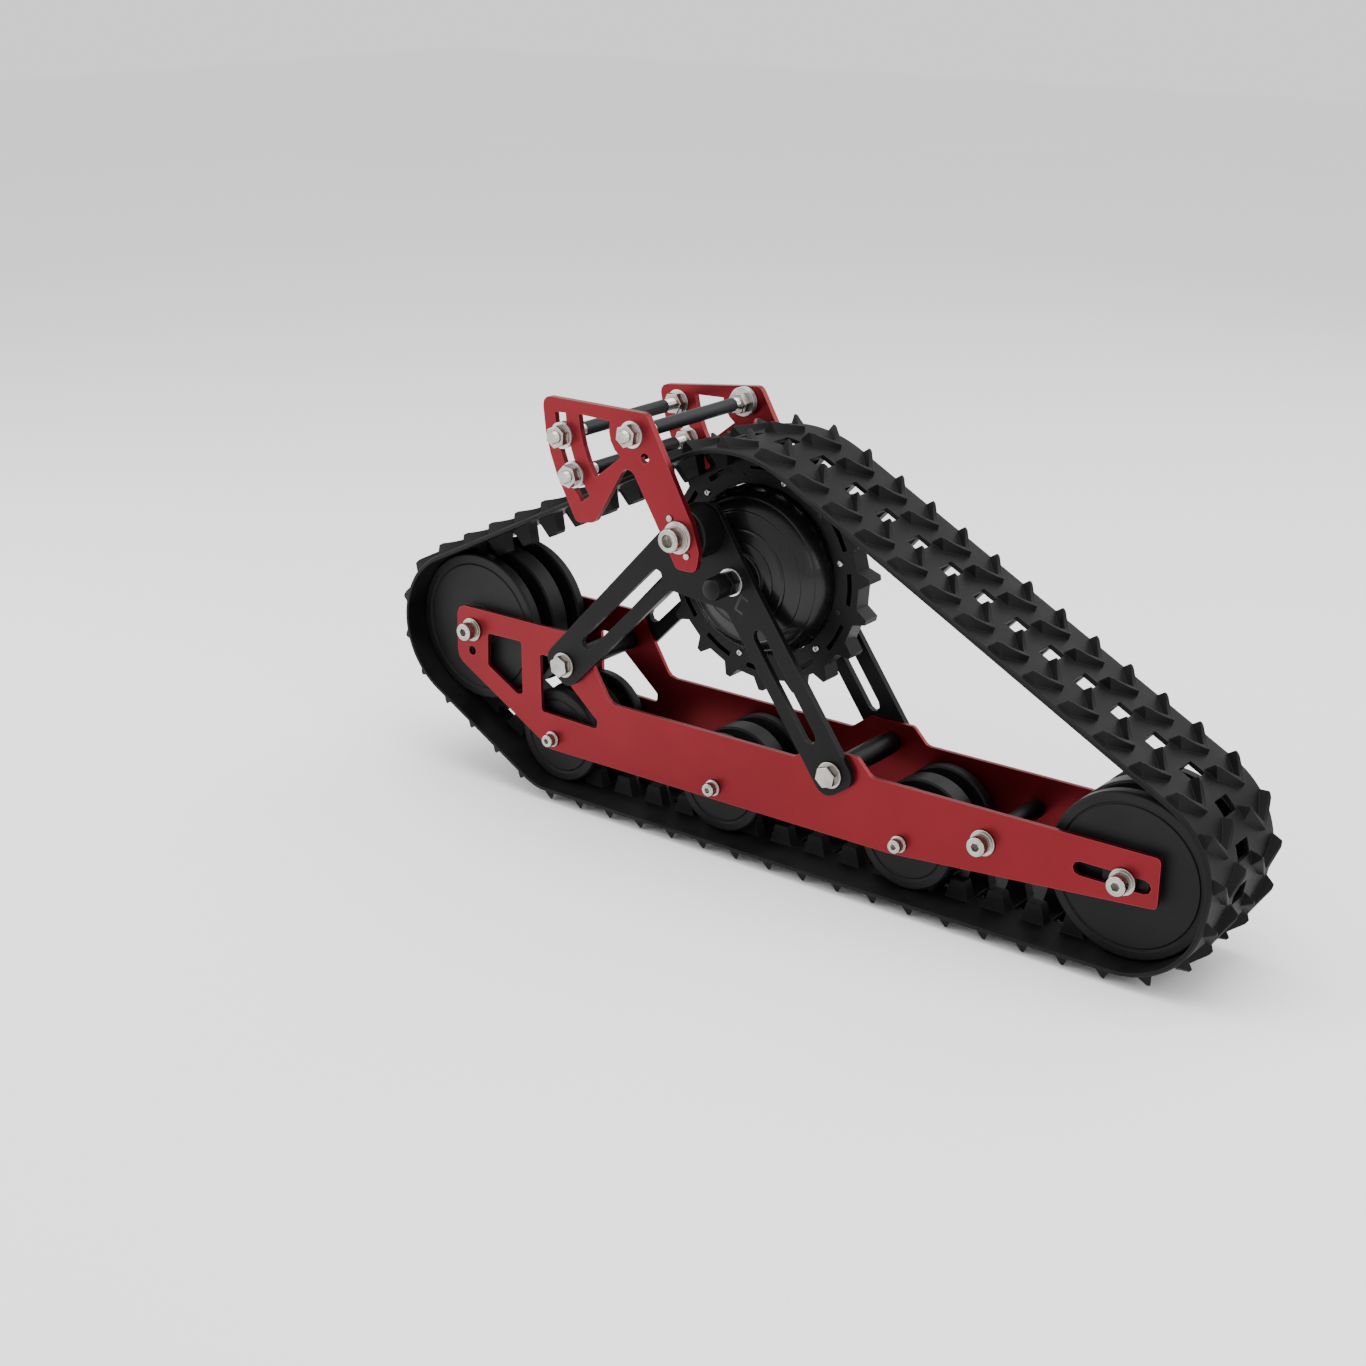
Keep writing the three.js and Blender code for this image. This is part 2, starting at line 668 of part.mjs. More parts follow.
function mountPlateOutline(label) {
  const top = TOP_EDGE[label];
  const edge = arcPoints(SWEEP_CENTRE, EDGE_RADIUS, top.edgeTop, 212, 4).map((p) => [p.x, p.y]);
  return roundedOutline([
    [-227, top.front, 8], ...edge, [-189, 309, 6], [-167, 312, 10], [-132, 369, 7], [-122, 368, 7],
    [-72, 286, 5], [-50, 286, 8], [-47, 306, 10], [-55, 330, 10], [-106, top.rear, 8],
  ], 0, 3);
}

function mountPlateHoles(label) {
  const { slotTop, windowTop } = TOP_EDGE[label];
  const rod = LARGE_SCREW.shank + SCREW_CLEARANCE;
  const slotHalf = 6.5;
  const arcSlot = [
    ...arcPoints(SWEEP_CENTRE, SLOT_RADIUS + slotHalf, slotTop, 217, 7),
    ...arcPoints(SWEEP_CENTRE, SLOT_RADIUS - slotHalf, 217, slotTop, 7),
  ];
  const windowOutline = [
    ...arcPoints(SWEEP_CENTRE, WINDOW_EDGE_RADIUS, slotTop, 212, 4),
    ...arcPoints(TOP_ROD, 27, 240, windowTop, 4),
  ];
  const pinHoles = [1, -1].map((sign) => {
    const centre = beside(PIVOT, TOP_ROD, PIN_OFFSET * sign, 0);
    return circleOutline(centre, 3.4, 12);
  });
  return [
    arcSlot,
    windowOutline,
    circleOutline(TOP_ROD, rod),
    circleOutline(SPARE_HOLE, 5),
    circleOutline(PIVOT, rod),
    ...pinHoles,
  ];
}

SIDES.forEach(([label, side]) => {
  const geometry = sideSheet(mountPlateOutline(label), mountPlateHoles(label), MOUNT_PLATE, side);
  add(`mount_plate_${label}`, geometry, RED);
});

// Boss between strut and mount plate. Its spigot turns in the strut.
const BOSS_RADIUS = 25;
const SPIGOT_RADIUS = 12.2;
const BOSS_FLOOR = 4;
const PIVOT_SCREW = { inBoss: 2, collar: 15, collarLength: 5, head: 11, headTop: 16 };

SIDES.forEach(([label, side]) => {
  const bore = LARGE_SCREW.shank + RUNNING_GAP;
  const floor = STRUT.outer + BOSS_FLOOR;
  const top = MOUNT_PLATE.inner - RUNNING_GAP;
  const boss = [
    [0, STRUT.inner], [SPIGOT_RADIUS, STRUT.inner], [SPIGOT_RADIUS, STRUT.outer + RUNNING_GAP],
    [BOSS_RADIUS, STRUT.outer + RUNNING_GAP], [BOSS_RADIUS, top], [bore, top], [bore, floor],
    [0, floor],
  ];
  add(`pivot_boss_${label}`, turned(boss, PIVOT, side, 14), BLACK_METAL);

  const collarFrom = MOUNT_PLATE.outer + RUNNING_GAP;
  const { inBoss, collar, collarLength, head, headTop } = PIVOT_SCREW;
  const screw = [
    [0, floor + inBoss], [LARGE_SCREW.shank, floor + inBoss], [LARGE_SCREW.shank, collarFrom],
    [collar, collarFrom], [collar, collarFrom + collarLength], [head, collarFrom + collarLength],
    [head, collarFrom + headTop], [0, collarFrom + headTop],
  ];
  add(`pivot_screw_${label}`, turned(screw, PIVOT, side, 10), STAINLESS);
});

// ---------------------------------------------------------------- mount rods

// Half of a tie rod from the mid-plane out: sleeve, inner nut, plate, outer nut.
const ROD = { sleeve: 8, thread: 6, nut: 11, nutLength: 11, bareLength: 22, tail: 4 };

function tieRodHalf() {
  const { sleeve, thread, nut, nutLength, bareLength, tail } = ROD;
  const innerNut = MOUNT_PLATE.inner - RUNNING_GAP;
  const outerNut = MOUNT_PLATE.outer + RUNNING_GAP;
  const end = outerNut + nutLength + tail;
  return [
    [sleeve, innerNut - bareLength], [thread, innerNut - bareLength],
    [thread, innerNut - nutLength], [nut, innerNut - nutLength], [nut, innerNut],
    [thread, innerNut], [thread, outerNut], [nut, outerNut], [nut, outerNut + nutLength],
    [thread, outerNut + nutLength], [thread, end], [0, end],
  ];
}

function tieRodProfile() {
  const far = tieRodHalf();
  const near = far.map(([r, y]) => [r, -y]).reverse();
  return [...near, ...far];
}

[TOP_ROD, ...SLOT_RODS].forEach((centre, i) => {
  const name = `tie_rod_${i + 1}`;
  add(name, turned(tieRodProfile(), centre, 1, 6), SLEEVE);
});

// ---------------------------------------------------------------- rest on the ground

const bounds = new THREE.Box3().setFromObject(assembly);
const middle = bounds.getCenter(new THREE.Vector3());
assembly.children.forEach((mesh) => mesh.geometry.translate(-middle.x, -middle.y, -bounds.min.z));

export default assembly;
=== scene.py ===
# Visual model of a rubber-belt track drive unit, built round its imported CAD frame.
# Metres. +X rearward, +Y to the far side, +Z up. "near" is -Y and "far" is +Y.

import json
import math
import random

import bmesh
import bpy
from mathutils import Matrix, Vector


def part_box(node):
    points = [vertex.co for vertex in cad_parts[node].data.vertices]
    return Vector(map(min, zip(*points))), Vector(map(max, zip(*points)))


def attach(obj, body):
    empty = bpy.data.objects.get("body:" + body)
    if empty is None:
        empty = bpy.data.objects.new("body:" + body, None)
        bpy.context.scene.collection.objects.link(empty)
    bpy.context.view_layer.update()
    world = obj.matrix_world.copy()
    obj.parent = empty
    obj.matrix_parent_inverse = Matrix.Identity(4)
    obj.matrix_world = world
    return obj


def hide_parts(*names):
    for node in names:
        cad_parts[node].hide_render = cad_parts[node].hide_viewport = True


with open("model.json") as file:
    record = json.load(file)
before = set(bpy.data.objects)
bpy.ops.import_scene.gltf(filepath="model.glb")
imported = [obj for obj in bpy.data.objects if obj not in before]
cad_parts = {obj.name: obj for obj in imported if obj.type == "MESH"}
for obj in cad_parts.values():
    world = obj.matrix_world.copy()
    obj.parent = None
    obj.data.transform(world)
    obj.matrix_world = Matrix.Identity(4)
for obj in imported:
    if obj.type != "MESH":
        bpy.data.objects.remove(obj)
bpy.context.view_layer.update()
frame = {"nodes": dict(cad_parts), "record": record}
nodes = frame["nodes"]
random.seed(7)

MM = 0.001
SIDES = (("near", -1), ("far", 1))


# ---------------------------------------------------------------- places from the frame


def centre_of(node):
    low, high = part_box(node)
    return (low + high) / 2


def outer_face(node, side):
    """Distance from the mid-plane of a node's outermost face on that side."""
    low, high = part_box(node)
    return low.y if side < 0 else high.y


HUB = centre_of("motor_axle")


# ---------------------------------------------------------------- materials


def new_material(name):
    material = bpy.data.materials.new(name)
    material.use_nodes = True
    tree = material.node_tree
    return material, tree, tree.nodes["Principled BSDF"]


def texture(tree, kind, scale, **values):
    """A procedural texture in the row frame, in metres."""
    place = tree.nodes.new("ShaderNodeTexCoord")
    made = tree.nodes.new(kind)
    tree.links.new(place.outputs["Object"], made.inputs["Vector"])
    made.inputs["Scale"].default_value = scale
    for key, value in values.items():
        made.inputs[key].default_value = value
    return made


def ramp(tree, source, low, high, low_at=0.35, high_at=0.65):
    made = tree.nodes.new("ShaderNodeValToRGB")
    made.color_ramp.elements[0].position = low_at
    made.color_ramp.elements[0].color = low
    made.color_ramp.elements[1].position = high_at
    made.color_ramp.elements[1].color = high
    tree.links.new(source, made.inputs["Fac"])
    return made


def grey(value):
    return (value, value, value, 1.0)


def add_bumps(tree, shader, layers):
    """Chains bump nodes. Each layer is (height output, strength, distance)."""
    normal = None
    for height, strength, distance in layers:
        bump = tree.nodes.new("ShaderNodeBump")
        bump.inputs["Strength"].default_value = strength
        bump.inputs["Distance"].default_value = distance
        tree.links.new(height, bump.inputs["Height"])
        if normal is not None:
            tree.links.new(normal, bump.inputs["Normal"])
        normal = bump.outputs["Normal"]
    tree.links.new(normal, shader.inputs["Normal"])


# Dot products of the true and the rounded normal, on a flat face and on a sharp edge.
FLAT_DOT = 0.995
SHARP_DOT = 0.85
WORN_SHARE = 0.7
GRAIN_STRENGTH = 0.35


def edge_wear(tree, colour_output, worn, amount, radius=0.0012):
    """Mixes a worn colour in where the surface turns sharply."""
    bevel = tree.nodes.new("ShaderNodeBevel")
    bevel.samples = 4
    bevel.inputs["Radius"].default_value = radius
    geometry = tree.nodes.new("ShaderNodeNewGeometry")
    dot = tree.nodes.new("ShaderNodeVectorMath")
    dot.operation = "DOT_PRODUCT"
    tree.links.new(bevel.outputs["Normal"], dot.inputs[0])
    tree.links.new(geometry.outputs["Normal"], dot.inputs[1])
    sharp = tree.nodes.new("ShaderNodeMapRange")
    sharp.inputs["From Min"].default_value = FLAT_DOT
    sharp.inputs["From Max"].default_value = SHARP_DOT
    sharp.inputs["To Min"].default_value = 0.0
    sharp.inputs["To Max"].default_value = amount
    tree.links.new(dot.outputs["Value"], sharp.inputs["Value"])
    mix = tree.nodes.new("ShaderNodeMix")
    mix.data_type = "RGBA"
    tree.links.new(sharp.outputs["Result"], mix.inputs["Factor"])
    tree.links.new(colour_output, mix.inputs["A"])
    mix.inputs["B"].default_value = worn
    return mix.outputs["Result"]


def surface(name, low, high, rough, metallic, grain, bump, worn=None, coat=0.0, gloss=0.5):
    """Metal, plastic or rubber: mottled colour, uneven roughness and a fine grain.

    rough is (lowest, highest), grain is (coarse scale, fine scale), bump is in metres."""
    material, tree, shader = new_material(name)
    patches = texture(tree, "ShaderNodeTexNoise", grain[0], Detail=5.0)
    fine = texture(tree, "ShaderNodeTexNoise", grain[1], Detail=3.0)
    colour = ramp(tree, patches.outputs["Fac"], low, high).outputs["Color"]
    if worn is not None:
        colour = edge_wear(tree, colour, worn, WORN_SHARE)
    tree.links.new(colour, shader.inputs["Base Color"])
    roughness = ramp(tree, patches.outputs["Fac"], grey(rough[0]), grey(rough[1]), 0.3, 0.7)
    tree.links.new(roughness.outputs["Color"], shader.inputs["Roughness"])
    shader.inputs["Metallic"].default_value = metallic
    shader.inputs["Coat Weight"].default_value = coat
    shader.inputs["Specular IOR Level"].default_value = gloss
    add_bumps(tree, shader, [(fine.outputs["Fac"], GRAIN_STRENGTH, bump)])
    return material


RED = surface(
    "red_anodised", (0.150, 0.007, 0.012, 1), (0.175, 0.009, 0.015, 1), (0.30, 0.36), 0.8,
    (9, 2600), 0.00005, worn=(0.34, 0.05, 0.06, 1),
)
BLACK = surface(
    "satin_black_coat", (0.0022, 0.0022, 0.0025, 1), (0.004, 0.004, 0.0044, 1), (0.36, 0.46), 0.0,
    (18, 2200), 0.00005, worn=(0.03, 0.03, 0.032, 1), gloss=0.13,
)
MOTOR = surface(
    "motor_gloss_black", (0.003, 0.003, 0.0033, 1), (0.005, 0.005, 0.0055, 1), (0.24, 0.29), 0.0,
    (8, 1800), 0.00002, coat=0.1, gloss=0.25,
)
STEEL = surface(
    "stainless", (0.30, 0.285, 0.26, 1), (0.44, 0.42, 0.39, 1), (0.20, 0.34), 1.0,
    (60, 3200), 0.00004, worn=(0.62, 0.60, 0.57, 1),
)
ZINC = surface(
    "zinc_washer", (0.50, 0.50, 0.50, 1), (0.64, 0.64, 0.62, 1), (0.26, 0.42), 1.0,
    (80, 2600), 0.00006,
)
RUBBER = surface(
    "belt_rubber", (0.0028, 0.0028, 0.0031, 1), (0.0075, 0.0075, 0.0076, 1), (0.48, 0.64), 0.0,
    (26, 1500), 0.00018, worn=(0.020, 0.020, 0.021, 1), gloss=0.12,
)
PLASTIC = surface(
    "wheel_plastic", (0.0045, 0.0045, 0.005, 1), (0.009, 0.009, 0.0095, 1), (0.40, 0.50), 0.0,
    (16, 1900), 0.00008, gloss=0.15,
)
SLEEVE = surface(
    "rod_sleeve", (0.005, 0.0055, 0.007, 1), (0.010, 0.011, 0.013, 1), (0.42, 0.56), 0.0,
    (24, 1700), 0.0001, gloss=0.25,
)
# Near-black: the dark sprocket screws' own colour, and the painted shade of the strut's recess on
# the dark C.
SCREW_BLACK_AND_PAINTED_SHADE = surface(
    "screw_black_and_painted_recess_shade", (0.003, 0.003, 0.003, 1), (0.006, 0.006, 0.006, 1), (0.6, 0.8), 0.0,
    (40, 900), 0.00006,
)


# ---------------------------------------------------------------- mesh helpers


def finish_mesh(bm, name, material, smooth=True):
    mesh = bpy.data.meshes.new(name)
    bmesh.ops.recalc_face_normals(bm, faces=bm.faces)
    bm.to_mesh(mesh)
    bm.free()
    mesh.materials.append(material)
    if smooth:
        for polygon in mesh.polygons:
            polygon.use_smooth = True
    piece = bpy.data.objects.new(name, mesh)
    bpy.context.scene.collection.objects.link(piece)
    return piece


def bevelled(piece, width, segments=2, angle=30):
    """Rounds the sharp edges and keeps the flat faces flat."""
    bevel = piece.modifiers.new("bevel", "BEVEL")
    bevel.width = width
    bevel.segments = segments
    bevel.limit_method = "ANGLE"
    bevel.angle_limit = math.radians(angle)
    bevel.harden_normals = True
    for polygon in piece.data.polygons:
        polygon.use_smooth = True
    return piece


ON_AXIS = 1e-7


def turned(bm, profile, centre, side=1, segments=96):
    """Adds a body turned about the Y axis through centre. profile lists (radius, y)."""
    rings = []
    for radius, y in profile:
        if radius < ON_AXIS:
            rings.append([bm.verts.new((centre.x, y * side, centre.z))])
            continue
        ring = []
        for k in range(segments):
            angle = 2 * math.pi * k / segments
            x = centre.x + radius * math.cos(angle)
            z = centre.z + radius * math.sin(angle)
            ring.append(bm.verts.new((x, y * side, z)))
        rings.append(ring)
    for a, b in zip(rings, rings[1:]):
        for k in range(segments):
            n = (k + 1) % segments
            if len(a) == 1 and len(b) == 1:
                continue
            if len(a) == 1:
                bm.faces.new((a[0], b[k], b[n]))
            elif len(b) == 1:
                bm.faces.new((a[k], a[n], b[0]))
            else:
                bm.faces.new((a[k], a[n], b[n], b[k]))
    if len(rings[0]) > 1 and len(rings[-1]) > 1:
        first, last = rings[0], rings[-1]
        for k in range(segments):
            n = (k + 1) % segments
            bm.faces.new((last[k], last[n], first[n], first[k]))


def turned_piece(name, profile, centre, side, material, body, width=0.0006, segments=96):
    bm = bmesh.new()
    turned(bm, profile, centre, side, segments)
    piece = finish_mesh(bm, name, material)
    bevelled(piece, width)
    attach(piece, body)
    return piece


def prism(bm, centre, radius, sides, y_from, y_to, turn=0.0):
    """Adds a regular prism along Y."""
    lower, upper = [], []
    for k in range(sides):
        angle = turn + 2 * math.pi * k / sides
        x = centre.x + radius * math.cos(angle)
        z = centre.z + radius * math.sin(angle)
        lower.append(bm.verts.new((x, y_from, z)))
        upper.append(bm.verts.new((x, y_to, z)))
    for k in range(sides):
        n = (k + 1) % sides
        bm.faces.new((lower[k], lower[n], upper[n], upper[k]))
    bm.faces.new(lower)
    bm.faces.new(upper)


HEX_SIDES = 6
HEX_BEVEL = 0.9 * MM


def hex_piece(name, centre, radius, y_from, y_to, turn, material):
    """Hexagonal head or nut with chamfered corners."""
    bm = bmesh.new()
    prism(bm, centre, radius, HEX_SIDES, y_from, y_to, turn)
    piece = finish_mesh(bm, name, material, smooth=False)
    return bevelled(piece, HEX_BEVEL, 2)


def solid_disc(radius, y_from, y_to):
    """Profile of a plain solid cylinder, for turned_piece."""
    return [(0, y_from), (radius, y_from), (radius, y_to), (0, y_to)]


def on_circle(centre, radius, angle):
    """x and z of a point on a circle about the Y axis through centre."""
    return centre.x + radius * math.cos(angle), centre.z + radius * math.sin(angle)


# ---------------------------------------------------------------- CAD nodes that stay

FINISHES = {
    "red_anodised": RED, "black_coated_metal": BLACK, "motor_black": MOTOR, "stainless": STEEL,
    "belt_rubber": RUBBER, "wheel_plastic": PLASTIC, "rod_sleeve": SLEEVE,
}
slot_of = {row["node"]: row["material_slot"] for row in frame["record"]["subparts"]}

for node_name, node in nodes.items():
    node.data.materials.clear()
    node.data.materials.append(FINISHES[slot_of[node_name]])

PLATE_BEVEL = 0.5 * MM
PLATE_EDGE_ANGLE = 40
for node_name, node in nodes.items():
    flat_piece = node_name.startswith(("side_plate", "v_strut", "mount_plate", "drive_sprocket"))
    if flat_piece:
        bevelled(node, PLATE_BEVEL, 2, PLATE_EDGE_ANGLE)


# ---------------------------------------------------------------- belt

BELT_WIDTH = 126 * MM
SKIN = 4.5 * MM
HALF_SKIN = SKIN / 2
BELT_GAP = 0.9 * MM
HUB_RUN = 118.7 * MM + HALF_SKIN
SHOULDER = (2 * MM, 14 * MM)
PITCH = 38 * MM
TEETH = 19
FIRST_TOOTH = math.radians(5.3)
WINDOW = (15 * MM, 22 * MM)
TURN = 2 * math.pi
WINDOWS_ON_SPROCKET = 5
EDGE_LIP = 2.2 * MM
EDGE_DROP = 1.5 * MM
MID_LINE = 40 * MM
MARKS_A_STATION = 7
MARKS_OF_WINDOW = (0, 1, 2)
COLUMN_OF_WINDOW = 3

CLEAT_STEPS = 8
CLEAT_HEIGHT = 10.6 * MM
CLEAT_AHEAD = 26 * MM
CLEAT_APEX_SHIFT = 4.5 * MM
CLEAT_APEX_Y = 36 * MM
CLEAT_SPAN = 22 * MM
CLEAT_SWEEP = 19 * MM
CLEAT_LOW = 5.6 * MM
CLEAT_RISE = 1.8
CLEAT_END_SHARE = 0.88
CLEAT_ROOT = 1.5 * MM
CLEAT_FLANK = 3.2 * MM
CLEAT_LEAN = 1.0 * MM
CLEAT_INWARD = 1.6 * MM
# Half lengths in mm at the apex, and how much they change by the ends.
CLEAT_FOOT = (5.2, 2.4)
CLEAT_TOP = (3.4, -2.3)
# Where the flanks stand, as shares of the foot's half length.
FLANK_AHEAD = 0.75
FLANK_BEHIND = 0.8

LUG_Y = 19.5 * MM
# Height from the inner face of the skin, length and width of each level, in mm.
LUG_LEVELS = ((1.0, 25, 14), (-1.5, 22.5, 13), (-10, 18, 12), (-17, 14.5, 11.2), (-18, 13, 10))
BELT_BEVEL = 0.6 * MM
BELT_EDGE_ANGLE = 28


def route_circles():
    """Centre x, centre z and skin radius of each circle, rearward along the top first."""
    circles = [(HUB.x, HUB.z, HUB_RUN)]
    for name in ("rear_idler", "road_wheel_1", "front_idler"):
        low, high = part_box(f"{name}_disc_middle")
        radius = (high.x - low.x) / 2 + BELT_GAP + HALF_SKIN
        middle = (low + high) / 2
        if name == "rear_idler":
            circles.append((middle.x + SHOULDER[0], middle.z + SHOULDER[1], radius))
        circles.append((middle.x, middle.z, radius))
    return circles


def route_pieces():
    """Arcs and straight runs as (length, kind, values), each starting where the last ends."""
    circles = route_circles()
    count = len(circles)
    normals = []
    for i, (x, z, r) in enumerate(circles):
        nx, nz, nr = circles[(i + 1) % count]
        normals.append(math.atan2(nz - z, nx - x) + math.acos((r - nr) / math.hypot(nx - x, nz - z)))
    pieces = []
    for i, (x, z, r) in enumerate(circles):
        arriving, leaving = normals[i - 1], normals[i]
        pieces.append((((arriving - leaving) % TURN) * r, "arc", (x, z, r, arriving)))
        nx, nz, nr = circles[(i + 1) % count]
        out_x, out_z = math.cos(leaving), math.sin(leaving)
        start = (x + r * out_x, z + r * out_z)
        end = (nx + nr * out_x, nz + nr * out_z)
        length = math.hypot(end[0] - start[0], end[1] - start[1])
        pieces.append((length, "run", (start, end, leaving)))
    return pieces


PIECES = route_pieces()
LOOP = sum(piece[0] for piece in PIECES)


def on_route(s, y, height):
    """Point at a length along the belt, across it, and outward from the middle of the skin."""
    s %= LOOP
    for length, kind, values in PIECES:
        if s > length:
            s -= length
            continue
        if kind == "arc":
            x, z, r, arriving = values
            angle = arriving - s / r
            out = r + height
            return (x + out * math.cos(angle), y, z + out * math.sin(angle))
        start, end, angle = values
        t = s / length
        x = start[0] + (end[0] - start[0]) * t
        z = start[1] + (end[1] - start[1]) * t
        return (x + height * math.cos(angle), y, z + height * math.sin(angle))
    return on_route(0.0, y, height)


def stations():
    """Lengths of the windows: over the teeth on the sprocket, evenly spaced elsewhere."""
    step = TURN / TEETH
    arriving = PIECES[0][2][3]
    first = math.floor((arriving - FIRST_TOOTH) / step) + 1
    lengths = []
    for k in range(WINDOWS_ON_SPROCKET):
        lengths.append((arriving - FIRST_TOOTH - (first - k) * step) * HUB_RUN)
    remaining = LOOP - (lengths[-1] - lengths[0])
    count = round(remaining / PITCH)
    last = lengths[-1]
    return lengths + [last + remaining * k / count for k in range(1, count)]


def add_skin(bm, lengths):
    """The belt's skin with a square window at each station and a thin lip on each edge."""
    half = WINDOW[0] / 2
    marks = []
    for i, s in enumerate(lengths):
        step = (lengths[(i + 1) % len(lengths)] - s) % LOOP
        gap = (step - 2 * half) / 4
        marks += [s - half, s - half / 3, s + half / 3, s + half]
        marks += [s + half + gap * k for k in (1, 2, 3)]
    edge = BELT_WIDTH / 2
    side_of_window = WINDOW[1] / 2
    across = [
        -edge, -edge + EDGE_LIP, -MID_LINE, -side_of_window,
        side_of_window, MID_LINE, edge - EDGE_LIP, edge,
    ]
    rows = len(marks)
    columns = len(across)
    window_rows = {i for i in range(rows) if i % MARKS_A_STATION in MARKS_OF_WINDOW}

    def is_solid(i, j):
        inside = 0 <= j < columns - 1
        return inside and not (i % rows in window_rows and j == COLUMN_OF_WINDOW)

    grid = {}
    for i, s in enumerate(marks):
        for j, y in enumerate(across):
            thin = EDGE_DROP if j in (0, columns - 1) else 0.0
            grid[i, j, 1] = bm.verts.new(on_route(s, y, HALF_SKIN - thin))
            grid[i, j, 0] = bm.verts.new(on_route(s, y, -HALF_SKIN))
    for i in range(rows):
        n = (i + 1) % rows
        for j in range(columns - 1):
            if not is_solid(i, j):
                continue
            for level in (0, 1):
                corners = ((i, j), (n, j), (n, j + 1), (i, j + 1))
                bm.faces.new([grid[a, b, level] for a, b in corners])
            walls = (
                ((i, j), (n, j), is_solid(i, j - 1)), ((i, j + 1), (n, j + 1), is_solid(i, j + 1)),
                ((i, j), (i, j + 1), is_solid(i - 1, j)), ((n, j), (n, j + 1), is_solid(i + 1, j)),
            )
            for a, b, backed in walls:
                if not backed:
                    bm.faces.new((grid[(*a, 0)], grid[(*b, 0)], grid[(*b, 1)], grid[(*a, 1)]))


def add_tube_of_sections(bm, sections):
    """Closed body through equal sections of points."""
    rings = [[bm.verts.new(point) for point in section] for section in sections]
    count = len(rings[0])
    for a, b in zip(rings, rings[1:]):
        for k in range(count):
            n = (k + 1) % count
            bm.faces.new((a[k], a[n], b[n], b[k]))
    bm.faces.new(rings[0])
    bm.faces.new(rings[-1])


def add_cleat(bm, s, side):
    """V-shaped cleat: tall, thin fins at both ends that sweep down to a blunt apex."""
    foot = HALF_SKIN - CLEAT_ROOT
    sections = []
    for k in range(-CLEAT_STEPS, CLEAT_STEPS + 1):
        t = abs(k) / CLEAT_STEPS
        sign = 1 if k > 0 else -1
        y = side * (CLEAT_APEX_Y + sign * t * CLEAT_SPAN)
        middle = s + CLEAT_AHEAD + CLEAT_APEX_SHIFT - CLEAT_SWEEP * t
        height = CLEAT_LOW + (CLEAT_HEIGHT - CLEAT_LOW) * t**CLEAT_RISE
        if t == 1:
            height = CLEAT_HEIGHT * CLEAT_END_SHARE
        foot_half = (CLEAT_FOOT[0] + CLEAT_FOOT[1] * t * t) * MM
        top_half = (CLEAT_TOP[0] + CLEAT_TOP[1] * t) * MM
        lean = -CLEAT_LEAN * t
        top_y = y - side * sign * CLEAT_INWARD * t
        sections.append([
            on_route(middle - foot_half, y, foot),
            on_route(middle + foot_half, y, foot),
            on_route(middle + foot_half * FLANK_AHEAD, y, foot + CLEAT_FLANK),
            on_route(middle + top_half + lean, top_y, HALF_SKIN + height),
            on_route(middle - top_half + lean, top_y, HALF_SKIN + height),
            on_route(middle - foot_half * FLANK_BEHIND, y, foot + CLEAT_FLANK),
        ])
    add_tube_of_sections(bm, sections)


def add_lug(bm, s, side):
    """Driving lug inside the belt, with a flared root and a narrow tip."""
    centre_y = side * LUG_Y
    sections = []
    for level, length, width in LUG_LEVELS:
        height = -HALF_SKIN + level * MM
        half_length = length * MM / 2
        half_width = width * MM / 2
        sections.append([
            on_route(s + a * half_length, centre_y + b * half_width, height)
            for a, b in ((-1, -1), (1, -1), (1, 1), (-1, 1))
        ])
    add_tube_of_sections(bm, sections)


def belt():
    lengths = stations()
    bm = bmesh.new()
    add_skin(bm, lengths)
    for s in lengths:
        for side in (-1, 1):
            add_cleat(bm, s, side)
            add_lug(bm, s + PITCH / 2, side)
    piece = finish_mesh(bm, "belt_look", RUBBER)
    bevelled(piece, BELT_BEVEL, 2, BELT_EDGE_ANGLE)
    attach(piece, "frame")
    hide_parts("track_belt")


belt()


# ---------------------------------------------------------------- wheels


IDLER_BORE = 10.4 * MM
ROAD_WHEEL_BORE = 7.4 * MM
BOSS_WALL = 8 * MM
IDLER_BOSS = 22 * MM
DISC_THICKNESS = 12 * MM


def wheel_disc(name, body, label, side, idler):
    """Moulded disc with chamfered rims, a groove near the outer rim and a hub boss."""
    low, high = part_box(name)
    centre = (low + high) / 2
    radius = (high.x - low.x) / 2
    bore = IDLER_BORE if idler else ROAD_WHEEL_BORE
    if label == "middle":
        inner = low.y
        face = high.y
        boss = bore + BOSS_WALL
        boss_face = high.y
    else:
        inner = min(abs(low.y), abs(high.y))
        boss_face = max(abs(low.y), abs(high.y))
        boss = IDLER_BOSS if idler else bore + BOSS_WALL
        face = inner + DISC_THICKNESS
    lip = 1.6 * MM
    groove_out = radius - 9 * MM
    groove_in = radius - 11 * MM
    groove_deep = 1.4 * MM
    dish = 1.0 * MM
    profile = [
        (bore, inner), (radius - lip, inner), (radius, inner + lip), (radius, face - lip),
        (radius - lip, face), (groove_out, face), (groove_out - 0.4 * MM, face - groove_deep),
        (groove_in, face - groove_deep), (groove_in - 0.4 * MM, face - 0.2 * MM),
        (boss + 3 * MM, face - dish), (boss, face - dish * 0.6),
    ]
    if boss_face > face + MM:
        profile += [(boss - 0.5 * MM, boss_face)]
    profile += [(bore, boss_face if boss_face > face else face - dish * 0.6)]
    turn_side = side if label != "middle" else 1
    piece = turned_piece(f"{name}_look", profile, centre, turn_side, PLASTIC, body)
    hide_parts(name)


WHEELS = [("front_idler", True), ("rear_idler", True)]
WHEELS += [(f"road_wheel_{k}", False) for k in (1, 2, 3)]
for wheel, is_idler in WHEELS:
    for label, side in (*SIDES, ("middle", 1)):
        wheel_disc(f"{wheel}_disc_{label}", wheel, label, side, is_idler)


# ---------------------------------------------------------------- screws


